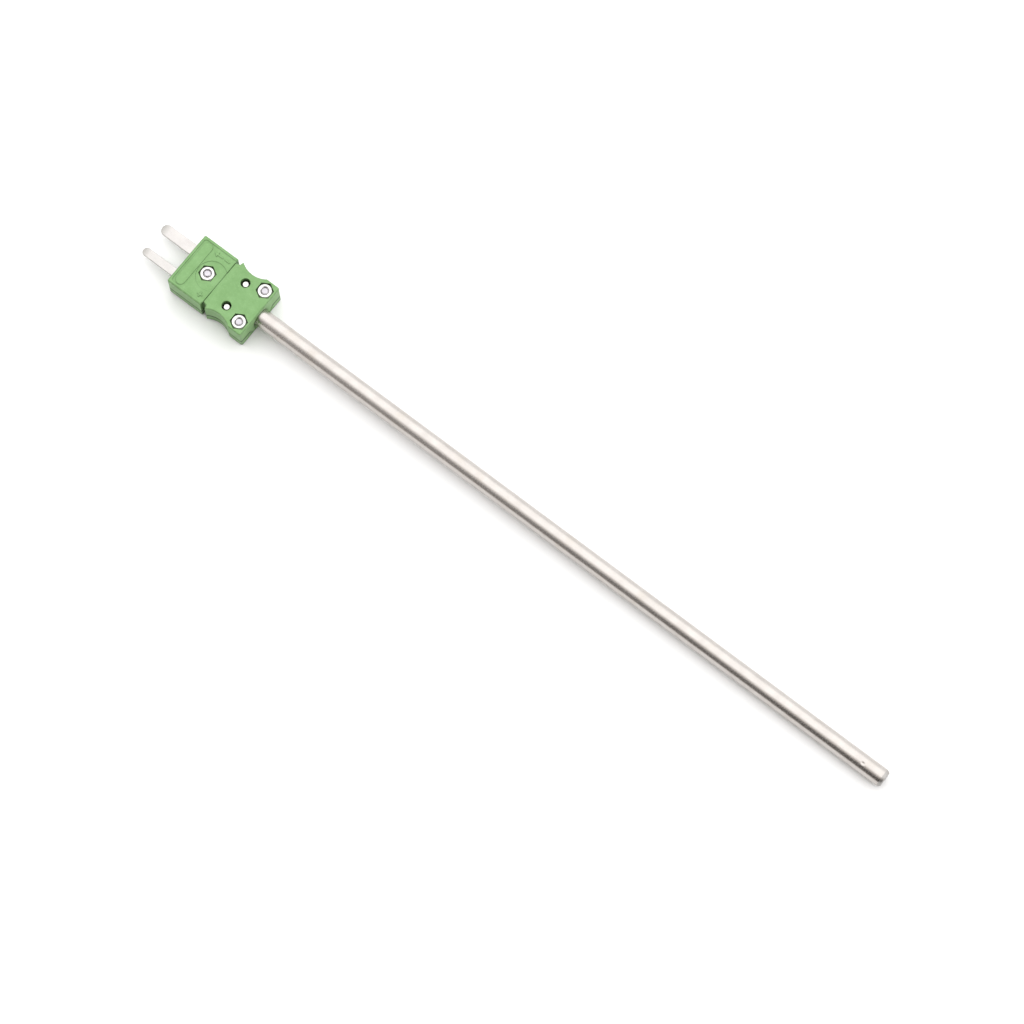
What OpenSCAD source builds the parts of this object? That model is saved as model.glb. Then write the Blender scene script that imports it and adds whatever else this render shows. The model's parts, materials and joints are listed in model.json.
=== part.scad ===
// Rigid thermocouple probe: a closed steel sheath fixed in a miniature two-blade plug.
// Frame: the origin is on the sheath's axis at the plug's rear face. +X runs along the sheath
// to its tip, +Y points to the wide (negative) blade, +Z to the side with the nuts.
// Millimetres throughout.

/* [Plug body] */
// Length of the moulded body
plug_l = 24.8; // [24:0.1:27]
// Width of the nose, the front section
nose_w = 16.0; // [15.8:0.1:17]
// Width of the tail across its rear corners
tail_w = 16.5; // [16.4:0.1:17]
// Height of the tail's top face above the sheath's axis
top_z = 3.9; // [3.8:0.05:4.5]
// Depth of the bottom face below the sheath's axis
bottom_z = 4.4; // [4.4:0.05:5]
// Depth of the parting plane below the sheath's axis
parting_z = 1.4; // [1.35:0.05:1.45]
// Depth of the sunken panel in the nose's top face
nose_step = 0.15; // [0.05:0.05:0.3]
// Distance from the rear face to the V notches between nose and tail
notch_x = 13.5; // [13.2:0.1:13.8]
// Half width left between the two V notches
notch_y = 6.8; // [6.6:0.1:7.2]
// Radius of the concave finger grips
grip_r = 6.5; // [6:0.1:8]
// Distance from the rear face to the middle of the grips
grip_x = 8.2; // [7.9:0.1:8.5]
// Half width of the tail at the waist between the grips
grip_waist = 6.9; // [6.8:0.05:7.1]

/* [Blades] */
// Distance between the blades' centre lines
pin_pitch = 7.9; // [7.8:0.05:8]
// Thickness of both blades
pin_t = 0.8; // [0.7:0.05:0.8]
// Width of the positive blade
pin_narrow = 2.4; // [2.2:0.1:2.6]
// Width of the negative blade
pin_wide = 3.2; // [3:0.1:3.4]
// Length of the blades in front of the nose
pin_out = 11.8; // [10:0.1:13]
// Width of each blade's terminal tab inside the body
tab_w = 3.8; // [3.4:0.1:3.8]

/* [Sheath] */
// Outer diameter of the sheath
sheath_d = 5.0; // [4.8:0.1:5.0]
// Wall thickness of the sheath
sheath_wall = 0.5; // [0.4:0.05:0.6]
// Length of the sheath outside the plug
sheath_out = 202; // [50:1:500]
// Length of the sheath inside the plug
sheath_in = 5.6; // [5:0.1:5.6]
// Diameter of the stretch that the plug grips
grip_d = 4.6; // [4.4:0.1:4.6]
// Diameter of the thermoelement wires
wire_d = 0.7; // [0.5:0.05:0.7]
// Distance between the wires inside the sheath
wire_pitch = 1.6; // [1.4:0.1:1.8]

/* [Fasteners] */
// Thread size of every screw
screw_d = 2.0; // [1.9:0.05:2.0]
// Diameter of the screw heads
head_d = 3.6; // [3.4:0.1:3.6]
// Length of the body screws under the head
body_screw_l = 6.0; // [5:0.5:6]
// Length of the terminal screws under the head
terminal_screw_l = 5.8; // [4:0.1:5.8]
// Width of the nuts across their flats
nut_af = 4.0; // [3.8:0.1:4.0]
// Thickness of the nuts
nut_h = 1.6; // [1.4:0.1:1.6]
// Distance from the rear face to the front screw
front_screw_x = 17.65; // [17.2:0.05:18]
// Distance from the rear face to the rear screws
rear_screw_x = 2.7; // [2.6:0.05:2.8]
// Distance of each rear screw from the centre line
rear_screw_y = 5.4; // [5.3:0.05:5.5]
// Distance from the rear face to the terminal screws
terminal_x = 8.0; // [7.9:0.05:8.1]

/* [Hidden] */
$fn = 64;
eps = 0.01;                                  // overshoot of cutters past a face
fit = 0.05;                                  // running gap on a radius
free = 0.1;                                  // gap round a part that drops into a recess

// Fastener sizes
screw_r = screw_d / 2 - fit;                 // plain shank that stands for the thread
bore_r = screw_d / 2;                        // nut and tapped tab
clear_r = screw_d / 2 + fit;                 // clearance holes in shells and washers
body_head_h = 1.3;
terminal_head_h = 0.8;
slot_w = 0.5;
slot_depth = 0.45;
nut_chamfer = 0.3;
pocket_af = nut_af + 0.2;

// Heights, from the bottom up
cover_floor_z = 0.6 - bottom_z;              // inner face of the screw side shell's floor
pin_low_z = -parting_z - 0.3;                // underside of the blades
pin_high_z = pin_low_z + pin_t;
washer_high_z = pin_low_z - wire_d;          // the wire is clamped between tab and washer
washer_t = 0.5;
terminal_seat_z = washer_high_z - washer_t;  // underside of the terminal screws' heads, from above
wire_clamp_z = pin_low_z - wire_d / 2;
ceiling_z = 1.2;                             // inner face of the nut side shell's top wall
screw_seat_z = 2.1 - bottom_z;               // floor of the counterbores
front_nut_z = 2.0;                           // floor of the front nut's pocket
rear_nut_z = 2.2;                            // floor of the rear nuts' pockets
nose_z = top_z - nose_step;                  // floor of the nose's panel

// Places along and across the body
front_wall = 2.2;
channel_front_x = front_wall - plug_l;
chamber_front_x = -10.4;
chamber_y = 5.95;
groove_half = 0.12;                          // half width of the groove between nose and tail
tab_half = tab_w / 2;
terminal_y = pin_pitch / 2;
yoke_r = 4.85;                               // the nut side shell straddles the sheath with a yoke
yoke_l = 0.8;
yoke_foot_z = -3.4;
mouth_l = 0.6;                               // flared mouth round the sheath
mouth_r = 2.65;
shoulder_x = -0.15;                          // the sheath is turned down from here inwards
sheath_r = sheath_d / 2;
sheath_bore_r = sheath_r - sheath_wall;
tip_l = 1.2;
tip_taper_l = 0.9;
tip_end_r = 2.05;                            // the tip's flat end, inside its taper
spigot_l = 2.0;
junction_r = 1.2;
junction_x = sheath_out - tip_l - spigot_l - 3.0;
seal_l = 1.0;
wire_y = wire_pitch / 2;

BODY_SCREWS = [[-front_screw_x, 0], [-rear_screw_x, -rear_screw_y], [-rear_screw_x, rear_screw_y]];

// --- shared shapes ---------------------------------------------------------------------------

module slab(x0, x1, y0, y1, z0, z1)
    translate([x0, y0, z0]) cube([x1 - x0, y1 - y0, z1 - z0]);

module rod(r, x0, x1) translate([x0, 0, 0]) rotate([0, 90, 0]) cylinder(r = r, h = x1 - x0);

module post(p, r, z0, z1) translate([p[0], p[1], z0]) cylinder(r = r, h = z1 - z0);

// Hexagon with its flats facing +X and -X
module hexagon(p, across, z0, z1)
    translate([p[0], p[1], z0]) rotate([0, 0, 30])
        cylinder(r = across / sqrt(3), h = z1 - z0, $fn = 6);

module both_sides() { children(); mirror([0, 1, 0]) children(); }

// The body seen from above: nose, tail, a V notch and a concave grip on each side
module outline() {
    difference() {
        union() {
            translate([-plug_l, -nose_w / 2]) square([plug_l - notch_x + 1, nose_w]);
            translate([-notch_x, -tail_w / 2]) square([notch_x, tail_w]);
        }
        both_sides() polygon([
            [-notch_x - groove_half, tail_w], [-notch_x - groove_half, notch_y],
            [-notch_x + groove_half, notch_y], [-notch_x + 1.15, notch_y + 0.3],
            [-notch_x + 1.5, tail_w / 2], [-notch_x + 1.5, tail_w]
        ]);
        both_sides() translate([-grip_x, grip_waist + grip_r]) circle(r = grip_r, $fn = 96);
    }
}

// What is hollow in both shells: blade slots, tab channels, terminal chamber, sheath bore, screw holes
module hollow() {
    for (side = [[-1, pin_narrow], [1, pin_wide]]) {
        y = side[0] * terminal_y;
        half = side[1] / 2 + fit;
        slab(-plug_l - 1, channel_front_x + eps, y - half, y + half, pin_low_z, pin_high_z);
        slab(channel_front_x, chamber_front_x + eps, y - tab_half - free, y + tab_half + free,
             pin_low_z, pin_high_z + free);
    }
    slab(chamber_front_x, -sheath_in, -chamber_y, chamber_y, cover_floor_z, ceiling_z);
    rod(grip_d / 2, -sheath_in - eps, 1);
    translate([-mouth_l, 0, 0]) rotate([0, 90, 0])
        cylinder(r1 = grip_d / 2, r2 = mouth_r + (mouth_r - grip_d / 2) / mouth_l, h = mouth_l + 1);
    for (p = BODY_SCREWS) post(p, clear_r, -bottom_z - 1, top_z + 1);
}

// --- moulded shells --------------------------------------------------------------------------

// Yoke of the nut side shell that straddles the sheath below the parting plane
module yoke(r, l, foot_z) {
    intersection() {
        rod(r, -l, 0);
        slab(-l, 0, -r, r, foot_z, 0);
    }
}

// Slot under the sheath, open downwards, so that the shell lifts off; it widens at the mouth
module yoke_slot(gap) {
    half = grip_d / 2 + gap;
    flare = (mouth_r - grip_d / 2) / mouth_l;
    translate([0, 0, -bottom_z - 1]) linear_extrude(bottom_z + 1) polygon([
        [-sheath_in - eps, -half], [-mouth_l, -half], [1, -half - flare * (mouth_l + 1)],
        [1, half + flare * (mouth_l + 1)], [-mouth_l, half], [-sheath_in - eps, half]
    ]);
}

module nut_side_shell() {
    color([0.33, 0.58, 0.30]) difference() {
        union() {
            difference() {
                translate([0, 0, -parting_z]) linear_extrude(parting_z + top_z) outline();
                nose_panel();
            }
            yoke(yoke_r, yoke_l, yoke_foot_z);
            raised_marks();
        }
        hollow();
        yoke_slot(fit);
        // fine groove between nose and tail
        slab(-notch_x - groove_half, -notch_x + groove_half, -tail_w, tail_w, nose_z - 0.2, top_z + 1);
        hexagon([-front_screw_x, 0], pocket_af, front_nut_z, top_z + 1);
        both_sides() hexagon([-rear_screw_x, rear_screw_y], pocket_af, rear_nut_z, top_z + 1);
        both_sides() post([-terminal_x, terminal_y], 1.325, 0, top_z + 1);
        moulding_pockets(-parting_z - 1, ceiling_z);
    }
}

// Sunken panel inside a rim, with a round recess about the front nut that runs out at the groove.
// It leaves a blank pad with round ends, for a written label.
module nose_panel() {
    rim = 0.8;
    corner = 0.8;
    half = nose_w / 2 - rim;
    pad_w = 2.7;
    pad_x = -22.05;
    pad_half = 6.95 - pad_w / 2;
    recess = 0.12;
    difference() {
        union() {
            slab(-plug_l + rim, -notch_x, -half + corner, half - corner, nose_z, top_z + 1);
            slab(-plug_l + rim + corner, -notch_x, -half, half, nose_z, top_z + 1);
            both_sides() post([-plug_l + rim + corner, half - corner], corner, nose_z, top_z + 1);
            intersection() {
                post([-16.3, 0], 4.2, nose_z - recess, top_z);
                slab(-plug_l, -notch_x, -nose_w, nose_w, 0, top_z + 1);
            }
        }
        slab(pad_x - pad_w / 2, pad_x + pad_w / 2, -pad_half, pad_half, 0, top_z + 2);
        both_sides() post([pad_x, pad_half], pad_w / 2, 0, top_z + 2);
    }
}

// Minus sign beside the negative blade, plus sign beside the positive one, and a plain arrow that
// points the way the plug goes in
module raised_marks() {
    bar = 0.4;
    z0 = nose_z - eps;
    slab(-16.3, -14.7, 5.7 - bar / 2, 5.7 + bar / 2, z0, top_z);
    slab(-16.3, -14.7, -5.7 - bar / 2, -5.7 + bar / 2, z0, top_z);
    slab(-15.5 - bar / 2, -15.5 + bar / 2, -6.5, -4.9, z0, top_z);
    slab(-18.6, -16.9, 5.7 - bar / 2, 5.7 + bar / 2, z0, top_z);
    translate([0, 5.7, z0]) linear_extrude(top_z - z0)
        polygon([[-19.7, 0], [-18.6, 0.75], [-18.6, -0.75]]);
}

// Hollows that keep the front of each shell at an even wall thickness
module moulding_pockets(z0, z1) {
    both_sides() difference() {
        slab(channel_front_x, -11.6, 2.3, 5.6, z0, z1);
        post([-front_screw_x, 0], 3.1, z0 - 1, z1 + 1);
    }
}

module screw_side_shell() {
    color([0.30, 0.54, 0.28]) difference() {
        translate([0, 0, -bottom_z]) linear_extrude(bottom_z - parting_z) outline();
        hollow();
        for (p = BODY_SCREWS) post(p, head_d / 2 + free, -bottom_z - 1, screw_seat_z);
        moulding_pockets(screw_seat_z - 0.5, 0);
        // drivers reach the terminal screws through these
        both_sides() post([-terminal_x, terminal_y], 1.3, -bottom_z - 1, cover_floor_z + eps);
        difference() {
            yoke(yoke_r + free, yoke_l + free, yoke_foot_z - free);
            yoke_slot(-free);
        }
    }
}

// --- blades and terminals --------------------------------------------------------------------

// Blade with a round tip, a wider tab behind the nose wall, and a tapped collar
module blade(width) {
    half = width / 2;
    tab_x = channel_front_x + fit;
    color([0.80, 0.78, 0.76]) difference() {
        union() {
            translate([0, 0, pin_low_z]) linear_extrude(pin_t) {
                translate([-plug_l - pin_out + half, -half]) square([pin_out + front_wall, width]);
                translate([-plug_l - pin_out + half, 0]) circle(r = half);
                translate([tab_x, -tab_half]) square([-terminal_x - tab_x, tab_w]);
                translate([-terminal_x, 0]) circle(r = tab_half);
            }
            post([-terminal_x, 0], 1.5, pin_low_z, pin_high_z + 1.0);
        }
        post([-terminal_x, 0], bore_r, pin_low_z - 1, pin_high_z + 2);
    }
}

module positive_pin() translate([0, -terminal_y, 0]) blade(pin_narrow);
module negative_pin() translate([0, terminal_y, 0]) blade(pin_wide);

module terminal_washer(side) {
    half = 1.8;
    color([0.82, 0.82, 0.80]) difference() {
        translate([-terminal_x, side * terminal_y, 0])
            slab(-half, half, -half, half, terminal_seat_z, washer_high_z);
        post([-terminal_x, side * terminal_y], clear_r, terminal_seat_z - 1, washer_high_z + 1);
    }
}

module positive_terminal_washer() terminal_washer(-1);
module negative_terminal_washer() terminal_washer(1);

// --- fasteners -------------------------------------------------------------------------------

// Cheese head screw that stands on its head: the seat is at z and the shank points up
module screw(p, seat_z, length, head_h, crossed) {
    tail = 0.25;
    color([0.78, 0.77, 0.80]) translate([p[0], p[1], seat_z]) difference() {
        union() {
            translate([0, 0, -head_h]) cylinder(r = head_d / 2, h = head_h);
            cylinder(r = screw_r, h = length - tail);
            translate([0, 0, length - tail]) cylinder(r1 = screw_r, r2 = screw_r - tail, h = tail);
        }
        long = crossed ? 1.1 : head_d;
        slab(-long, long, -slot_w / 2, slot_w / 2, -head_h - 1, slot_depth - head_h);
        if (crossed) slab(-slot_w / 2, slot_w / 2, -long, long, -head_h - 1, slot_depth - head_h);
    }
}

module body_screw(i) screw(BODY_SCREWS[i], screw_seat_z, body_screw_l, body_head_h, true);
module body_screw_front() body_screw(0);
module body_screw_rear_left() body_screw(1);
module body_screw_rear_right() body_screw(2);

module terminal_screw(side)
    screw([-terminal_x, side * terminal_y], terminal_seat_z, terminal_screw_l, terminal_head_h, false);
module positive_terminal_screw() terminal_screw(-1);
module negative_terminal_screw() terminal_screw(1);

// Hexagon nut with its top corners turned off
module body_nut(i, z) {
    corner_r = nut_af / sqrt(3);
    color([0.88, 0.87, 0.86]) difference() {
        intersection() {
            hexagon(BODY_SCREWS[i], nut_af, z, z + nut_h);
            translate([BODY_SCREWS[i][0], BODY_SCREWS[i][1], z]) union() {
                cylinder(r = corner_r + eps, h = nut_h - nut_chamfer);
                translate([0, 0, nut_h - nut_chamfer])
                    cylinder(r1 = corner_r + eps, r2 = nut_af / 2 - 0.05, h = nut_chamfer);
            }
        }
        post(BODY_SCREWS[i], bore_r, z - 1, z + nut_h + 1);
    }
}

module body_nut_front() body_nut(0, front_nut_z);
module body_nut_rear_left() body_nut(1, rear_nut_z);
module body_nut_rear_right() body_nut(2, rear_nut_z);

// --- sheath and what is inside it ------------------------------------------------------------

module sheath_tube() {
    color([0.72, 0.70, 0.68]) difference() {
        union() {
            rod(grip_d / 2, -sheath_in, shoulder_x + eps);
            rod(sheath_r, shoulder_x, sheath_out - tip_l);
        }
        rod(sheath_bore_r, -sheath_in - 1, sheath_out);
    }
}

// Closing disc with a spigot that sits in the sheath's bore
module tip_plug() {
    color([0.72, 0.70, 0.68]) {
        rod(sheath_bore_r, sheath_out - tip_l - spigot_l, sheath_out - tip_l + eps);
        rod(sheath_r, sheath_out - tip_l, sheath_out - tip_taper_l);
        translate([sheath_out - tip_taper_l, 0, 0]) rotate([0, 90, 0])
            cylinder(r1 = sheath_r, r2 = tip_end_r, h = tip_taper_l);
    }
}

module wire_bores(x0, x1) both_sides() translate([0, wire_y, 0]) rod(wire_d / 2, x0, x1);

module mineral_insulation() {
    color([0.93, 0.93, 0.90]) difference() {
        rod(sheath_bore_r, -sheath_in + seal_l, sheath_out - tip_l - spigot_l);
        wire_bores(-sheath_in, junction_x);
        translate([junction_x, 0, 0]) sphere(r = junction_r);
    }
}

module end_seal() {
    color([0.55, 0.30, 0.14]) difference() {
        rod(sheath_bore_r, -sheath_in, -sheath_in + seal_l);
        wire_bores(-sheath_in - 1, 0);
    }
}

module hot_junction() color([0.45, 0.44, 0.43]) translate([junction_x, 0, 0]) sphere(r = junction_r);

// Straight through the sheath, then down and outwards in the chamber, and under the washer
// on the inner side of its terminal screw
module wire(side) {
    knee_r = wire_d / 2 + 0.02;
    route = [
        [-sheath_in - 0.2, wire_y, 0],
        [-sheath_in - 0.6, wire_y + 0.1, -0.3],
        [-sheath_in - 0.9, wire_y + 0.4, wire_clamp_z + 0.3],
        [-terminal_x + 1.2, terminal_y - 1.6, wire_clamp_z],
        [-terminal_x - 1.7, terminal_y - 1.4, wire_clamp_z]
    ];
    color(side > 0 ? [0.70, 0.69, 0.66] : [0.62, 0.61, 0.60]) mirror([0, side > 0 ? 0 : 1, 0]) {
        difference() {
            translate([0, wire_y, 0]) rod(wire_d / 2, route[0][0], junction_x);
            translate([junction_x, 0, 0]) sphere(r = junction_r);
        }
        for (i = [0 : len(route) - 2]) {
            translate(route[i]) sphere(r = knee_r);
            link(route[i], route[i + 1]);
        }
    }
}

// Round bar between two points
module link(a, b) {
    d = b - a;
    translate(a) rotate([0, acos(d[2] / norm(d)), atan2(d[1], d[0])])
        cylinder(r = wire_d / 2, h = norm(d));
}

module positive_wire() wire(-1);
module negative_wire() wire(1);

nut_side_shell();
screw_side_shell();
positive_pin();
negative_pin();
positive_terminal_screw();
negative_terminal_screw();
positive_terminal_washer();
negative_terminal_washer();
body_screw_front();
body_screw_rear_left();
body_screw_rear_right();
body_nut_front();
body_nut_rear_left();
body_nut_rear_right();
sheath_tube();
tip_plug();
mineral_insulation();
end_seal();
hot_junction();
positive_wire();
negative_wire();
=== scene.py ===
"""Looks of the thermocouple probe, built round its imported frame.

Lengths are in millimetres, and MM turns them into the metres that Blender works in. The frame's
axes are the CAD's: the origin is on the sheath's axis at the plug's rear face, +X runs to the
sheath's tip, and +Z to the side with the nuts.
"""

import json
import math

import bmesh
import bpy
from mathutils import Matrix, Vector, noise


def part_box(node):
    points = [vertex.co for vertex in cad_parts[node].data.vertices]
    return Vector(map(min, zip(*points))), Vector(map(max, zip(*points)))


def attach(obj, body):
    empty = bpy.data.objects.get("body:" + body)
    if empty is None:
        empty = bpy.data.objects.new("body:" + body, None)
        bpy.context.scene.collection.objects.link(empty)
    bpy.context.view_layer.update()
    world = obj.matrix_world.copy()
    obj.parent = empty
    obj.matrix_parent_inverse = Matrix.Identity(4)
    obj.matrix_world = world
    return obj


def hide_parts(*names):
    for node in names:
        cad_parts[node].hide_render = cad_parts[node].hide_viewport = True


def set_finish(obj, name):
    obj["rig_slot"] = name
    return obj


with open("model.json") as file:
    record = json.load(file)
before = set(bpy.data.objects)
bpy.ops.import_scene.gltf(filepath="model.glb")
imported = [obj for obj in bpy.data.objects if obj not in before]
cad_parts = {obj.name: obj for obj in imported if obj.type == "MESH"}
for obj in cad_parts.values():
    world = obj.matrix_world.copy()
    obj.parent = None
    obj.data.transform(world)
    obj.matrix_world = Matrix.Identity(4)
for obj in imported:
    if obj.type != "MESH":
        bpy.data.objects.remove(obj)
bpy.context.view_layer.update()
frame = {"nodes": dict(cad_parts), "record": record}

MM = 0.001
TURN = 2 * math.pi
SHARP = math.radians(25)  # an edge with a larger angle than this is a real edge
FLAT = math.radians(1)  # and faces at a smaller angle than this are one face
SAME_PLACE = 0.001  # points closer than this are one point

RECORD = frame["record"]
BODY_OF = {n: body for body, nodes in RECORD["behaviour"]["bodies"].items() for n in nodes}
SLOT_OF = {part["node"]: part["material_slot"] for part in RECORD["subparts"]}


def box_mm(node):
    """Lowest and highest corner of a CAD node, in millimetres."""
    low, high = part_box(node)
    return low / MM, high / MM


# --- sizes ---------------------------------------------------------------------------------------

NUT_SHELL_LOW, NUT_SHELL_HIGH = box_mm("nut_side_shell")
SCREW_SHELL_LOW, SCREW_SHELL_HIGH = box_mm("screw_side_shell")
PLUG_FRONT_X = NUT_SHELL_LOW.x
TOP_Z = NUT_SHELL_HIGH.z
BOTTOM_Z = SCREW_SHELL_LOW.z
PARTING_Z = SCREW_SHELL_HIGH.z
BLADE_TIP_X = box_mm("positive_pin")[0].x
LEAD_IN_L = 2.2  # length of the wedge coined on a blade's tip
NOSE_Z = TOP_Z - 0.15  # floor of the nose's sunken panel
NOTCH_X = -13.5  # middle of the groove between nose and tail
NOTCH_Y = 6.8  # half width between the two V notches
NOSE_Y = 8.0  # half width of the nose
YOKE_Y = 4.7  # half width of the yoke at the parting plane
YOKE_L = 1.0  # the yoke's length from the rear face
SHEATH_R = box_mm("sheath_tube")[1].z
TIP_X = box_mm("tip_plug")[1].x
TIP_TAPER = 0.9  # length of the taper at the sheath's tip
TIP_END_R = 2.05  # radius at the taper's small end
SEAL_LOW, SEAL_HIGH = box_mm("end_seal")
WIRE_R = 0.34
WIRE_Y = 0.8  # the wires' distance from the sheath's axis
BODY_HEAD_H = 1.3
TERMINAL_HEAD_H = 0.8
BODY_SCREWS = ("body_screw_front", "body_screw_rear_left", "body_screw_rear_right")
TERMINAL_SCREWS = ("positive_terminal_screw", "negative_terminal_screw")
BODY_NUTS = ("body_nut_front", "body_nut_rear_left", "body_nut_rear_right")


# --- materials -----------------------------------------------------------------------------------


def add(tree, kind, inputs=None, **settings):
    """A shader node with its settings, and its inputs set or linked."""
    node = tree.nodes.new(kind)
    for key, value in settings.items():
        setattr(node, key, value)
    for key, value in (inputs or {}).items():
        if isinstance(value, bpy.types.NodeSocket):
            tree.links.new(value, node.inputs[key])
        else:
            node.inputs[key].default_value = value
    return node


def shade(colour, factor):
    """A colour made darker or lighter."""
    return tuple(min(1, c * factor) for c in colour)


def new_material(name):
    """An empty node material: (material, tree, principled shader, object coordinates)."""
    material = bpy.data.materials.new(name)
    material.use_nodes = True
    tree = material.node_tree
    tree.nodes.clear()
    shader = add(tree, "ShaderNodeBsdfPrincipled")
    output = add(tree, "ShaderNodeOutputMaterial")
    tree.links.new(shader.outputs["BSDF"], output.inputs["Surface"])
    place = add(tree, "ShaderNodeTexCoord").outputs["Object"]
    return material, tree, shader, place


def noise_field(tree, place, size_mm, detail=2.0, stretch=(1, 1, 1)):
    """Noise whose grains are about size_mm across. stretch makes them longer along an axis."""
    moved = add(tree, "ShaderNodeMapping", {"Vector": place, "Scale": [1 / s for s in stretch]})
    field = add(
        tree,
        "ShaderNodeTexNoise",
        {"Vector": moved.outputs["Vector"], "Scale": 1 / (size_mm * MM), "Detail": detail},
    )
    return field.outputs["Fac"]


def spread(tree, value, low, high, from_low=0.3, from_high=0.7):
    """A field mapped from from_low..from_high to low..high, and held at its ends outside that."""
    node = add(
        tree,
        "ShaderNodeMapRange",
        {"Value": value, "From Min": from_low, "From Max": from_high, "To Min": low, "To Max": high},
    )
    return node.outputs["Result"]


def blend_colour(tree, factor, first, second):
    """A colour socket between two colours, by a factor socket."""
    node = add(
        tree,
        "ShaderNodeMix",
        {"Factor": factor, "A": (*first, 1), "B": (*second, 1)},
        data_type="RGBA",
    )
    return node.outputs[2]


def mix_over(tree, under, colour, factor):
    """colour laid over a colour socket, by a factor socket."""
    node = add(
        tree, "ShaderNodeMix", {"Factor": factor, "A": under, "B": (*colour, 1)}, data_type="RGBA"
    )
    return node.outputs[2]


def bumps(tree, shader, *layers):
    """Stacks bump layers of (height field, depth in millimetres) on the shader's normal."""
    normal = None
    for height, depth_mm in layers:
        inputs = {"Height": height, "Strength": 1.0, "Distance": depth_mm * MM}
        if normal is not None:
            inputs["Normal"] = normal
        normal = add(tree, "ShaderNodeBump", inputs).outputs["Normal"]
    tree.links.new(normal, shader.inputs["Normal"])


def calculate(tree, operation, *values):
    """The result of a math node on numbers or sockets."""
    node = add(tree, "ShaderNodeMath", dict(enumerate(values)), operation=operation)
    return node.outputs[0]


JOINT_DARKENING = 0.95  # share of dirt and painted shade in the joint between the shells
JOINT_CORE = 0.22  # the darkening is full to this distance from the parting plane
JOINT_EDGE = 0.42  # and gone at this one
FADE = 0.2  # width over which the darkening stops beside the yoke
WALL_RISE = 0.93  # Z part of the normal of the flattest face that counts as a wall
FLAT_RISE = 0.99  # and of the steepest one that counts as flat


def joint_dirt_and_shade(tree, place):
    """Dirt and painted shade along the joint on the shells' outer walls; none on the joint's own face or
    the yoke.
    """
    parts = add(tree, "ShaderNodeSeparateXYZ", {"Vector": place}).outputs
    facing = add(tree, "ShaderNodeTexCoord").outputs["Normal"]
    rise = add(tree, "ShaderNodeSeparateXYZ", {"Vector": facing}).outputs["Z"]
    from_joint = calculate(tree, "ABSOLUTE", calculate(tree, "SUBTRACT", parts["Z"], PARTING_Z * MM))
    near_joint = spread(tree, from_joint, JOINT_DARKENING, 0, JOINT_CORE * MM, JOINT_EDGE * MM)
    on_wall = spread(tree, calculate(tree, "ABSOLUTE", rise), 1, 0, WALL_RISE, FLAT_RISE)
    from_middle = calculate(tree, "ABSOLUTE", parts["Y"])
    beside_yoke = spread(tree, from_middle, 0, 1, (YOKE_Y - FADE) * MM, YOKE_Y * MM)
    before_yoke = spread(
        tree, parts["X"], 1, 0, (-YOKE_L - FADE / 2) * MM, (-YOKE_L + FADE / 2) * MM
    )
    clear_of_yoke = calculate(tree, "MAXIMUM", beside_yoke, before_yoke)
    return calculate(tree, "MULTIPLY", calculate(tree, "MULTIPLY", near_joint, on_wall), clear_of_yoke)


CORNER_REACH = 1.8  # painted shade in a corner reaches this far from it
LOW_REACH = 2.4  # and painted shade on the lower edge this far up


def moulded_plastic(name, dark, light, gloss=0.0):
    """Satin glass-filled plastic: a cloudy colour, pale fibre flecks and a fine eroded grain.

    Painted shade darkens corners and the underside, and dirt with painted shade darkens the joint
    between the shells.
    """
    material, tree, shader, place = new_material(name)
    cloud = spread(tree, noise_field(tree, place, size_mm=2.6, detail=3), 0, 1)
    fibre = noise_field(tree, place, size_mm=0.22, detail=3, stretch=(2.2, 1, 1))
    grain = noise_field(tree, place, size_mm=0.09, detail=2)
    colour = blend_colour(tree, cloud, dark, light)
    pale = [min(1, c * 1.5 + 0.05) for c in light]
    flecks = spread(tree, fibre, low=0, high=0.22, from_low=0.55, from_high=0.75)
    colour = mix_over(tree, colour, pale, flecks)
    height = add(tree, "ShaderNodeSeparateXYZ", {"Vector": place}).outputs["Z"]
    # painted shade in corners, from ambient occlusion
    reach = {"Distance": CORNER_REACH * MM}
    openness = add(tree, "ShaderNodeAmbientOcclusion", reach, samples=6).outputs["AO"]
    painted_corner_shade = spread(tree, openness, low=0.75, high=0, from_low=0.25, from_high=0.85)
    # painted shade, darker towards the bottom
    painted_low_shade = spread(tree, height, 0.22, 0, BOTTOM_Z * MM, (BOTTOM_Z + LOW_REACH) * MM)
    # one dark colour for the painted shade in corners and low down, and for the dirt and painted shade
    # in the joint
    dirt_and_shade_colour = shade(dark, 0.18)
    for painted_darkening in (joint_dirt_and_shade(tree, place), painted_corner_shade, painted_low_shade):
        colour = mix_over(tree, colour, dirt_and_shade_colour, painted_darkening)
    tree.links.new(colour, shader.inputs["Base Color"])
    tree.links.new(spread(tree, grain, 0.38 - gloss, 0.52 - gloss), shader.inputs["Roughness"])
    shader.inputs["Specular IOR Level"].default_value = 0.36
    bumps(tree, shader, (fibre, 0.006), (grain, 0.006))
    return material


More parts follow.
